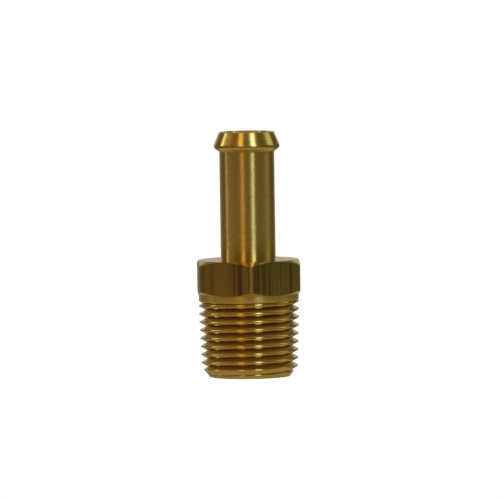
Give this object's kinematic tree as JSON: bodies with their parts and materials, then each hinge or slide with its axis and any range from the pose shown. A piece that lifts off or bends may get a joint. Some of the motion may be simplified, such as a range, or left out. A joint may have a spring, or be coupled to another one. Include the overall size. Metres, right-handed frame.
{
  "type": "hose barb tail",
  "caption": "Straight brass hose tail, turned in one piece: a plain stem with a rounded barb at its tip, a chamfered wrench hexagon and a tapered male pipe thread, bored through.",
  "frame": {"origin": "centre of the flat end face at the thread, on which the fitting stands", "axes": "+Z along the bore, from the thread up to the hose tip; -Y towards one corner of the hexagon, so that two of its flats face +X and -X"},
  "size_m": [0.0174, 0.02, 0.0425],
  "materials": {
    "brass": "bright turned brass, as machined"
  },
  "bodies": {
    "root": {"hose_tail": "brass"}
  },
  "joints": []
}
